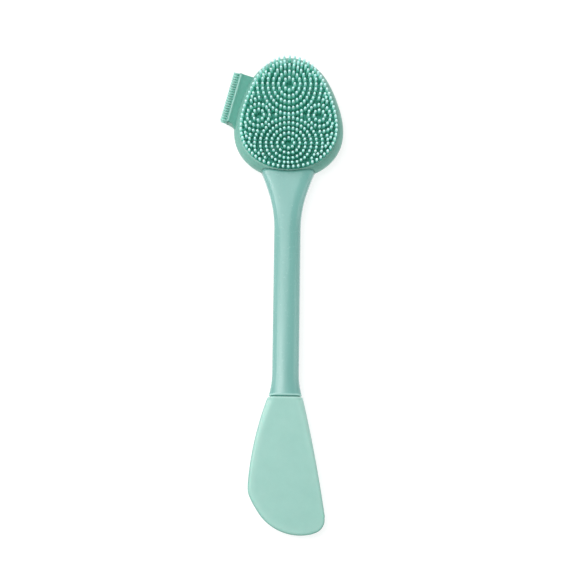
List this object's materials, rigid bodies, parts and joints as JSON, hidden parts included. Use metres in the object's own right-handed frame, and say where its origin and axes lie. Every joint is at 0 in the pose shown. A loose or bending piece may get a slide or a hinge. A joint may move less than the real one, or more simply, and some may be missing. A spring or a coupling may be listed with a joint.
{
  "type": "facial cleansing brush",
  "caption": "Hand-held facial cleansing brush with a soft round-tipped bristle head, a small side brush, a slim grip and a slip-on spatula end.",
  "frame": {"origin": "centre of the bristle head's flat back, on the handle's centre line", "axes": "+Z out of the face bristles, +Y along the handle from the spatula to the head, side brush on -X; the brush lies on its back on z = 0"},
  "size_m": [0.0521, 0.2016, 0.0145],
  "materials": {
    "handle_plastic": "glossy",
    "head_silicone": "satin silicone",
    "bristle_silicone": "translucent silicone",
    "side_silicone": "satin silicone",
    "spatula_silicone": "matte silicone"
  },
  "bodies": {
    "handle": {"handle": "handle_plastic"},
    "brush_head": {"head_shell": "head_silicone", "bristle_pad": "bristle_silicone", "side_brush": "side_silicone"},
    "spatula": {"spatula": "spatula_silicone"}
  },
  "joints": [
    {"name": "head_pull", "type": "slide", "parent": "handle", "child": "brush_head", "axis": [0, 1, 0], "range_m": [0, 0.042]},
    {"name": "spatula_pull", "type": "slide", "parent": "handle", "child": "spatula", "axis": [0, -1, 0], "range_m": [0, 0.025]}
  ]
}
